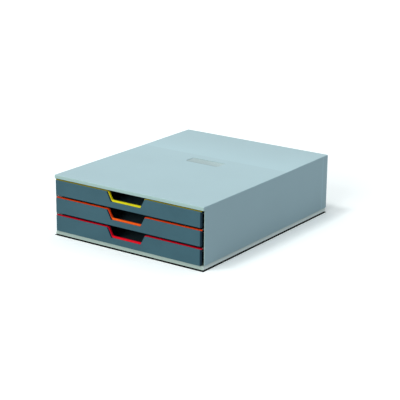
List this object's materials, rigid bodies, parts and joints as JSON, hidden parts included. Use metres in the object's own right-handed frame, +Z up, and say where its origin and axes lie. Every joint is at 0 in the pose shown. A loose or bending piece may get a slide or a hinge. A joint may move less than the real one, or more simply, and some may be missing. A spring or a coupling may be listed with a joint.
{
  "type": "desktop file drawer",
  "caption": "Low desktop drawer box for papers: moulded housing with a creased top and shallow trays that slide out of the front, each with a notched front and a coloured grip strip.",
  "frame": {"origin": "middle of the box that bounds the closed object, on the surface that it stands on", "axes": "+X to the right, seen from the front; +Y from the drawer fronts to the back; +Z up"},
  "size_m": [0.28, 0.356, 0.0978],
  "materials": {
    "housing": "light grey moulded plastic with a fine satin grain",
    "base": "light grey moulded plastic, a shade warmer than the housing",
    "plate": "smooth bare plate",
    "front": "charcoal moulded plastic with a fine grain",
    "tray": "charcoal moulded plastic, smooth",
    "rail": "grey low-friction plastic, smooth",
    "strip_yellow": "satin coloured plastic",
    "strip_orange": "satin coloured plastic",
    "strip_red": "satin coloured plastic",
    "rubber": "matt black rubber"
  },
  "bodies": {
    "housing": {"housing_cover": "housing", "back_panel": "housing", "base_pan": "base", "name_plate": "plate", "foot_front_left": "rubber", "foot_front_right": "rubber", "foot_rear_left": "rubber", "foot_rear_right": "rubber", "rail_bottom_left": "rail", "rail_bottom_right": "rail", "rail_middle_left": "rail", "rail_middle_right": "rail", "rail_top_left": "rail", "rail_top_right": "rail"},
    "drawer_bottom": {"tray_bottom": "tray", "front_bottom": "front", "strip_bottom": "strip_red"},
    "drawer_middle": {"tray_middle": "tray", "front_middle": "front", "strip_middle": "strip_orange"},
    "drawer_top": {"tray_top": "tray", "front_top": "front", "strip_top": "strip_yellow"}
  },
  "joints": [
    {"name": "slide_bottom", "type": "slide", "parent": "housing", "child": "drawer_bottom", "axis": [0, -1, 0], "range_m": [0, 0.25]},
    {"name": "slide_middle", "type": "slide", "parent": "housing", "child": "drawer_middle", "axis": [0, -1, 0], "range_m": [0, 0.25]},
    {"name": "slide_top", "type": "slide", "parent": "housing", "child": "drawer_top", "axis": [0, -1, 0], "range_m": [0, 0.25]}
  ]
}
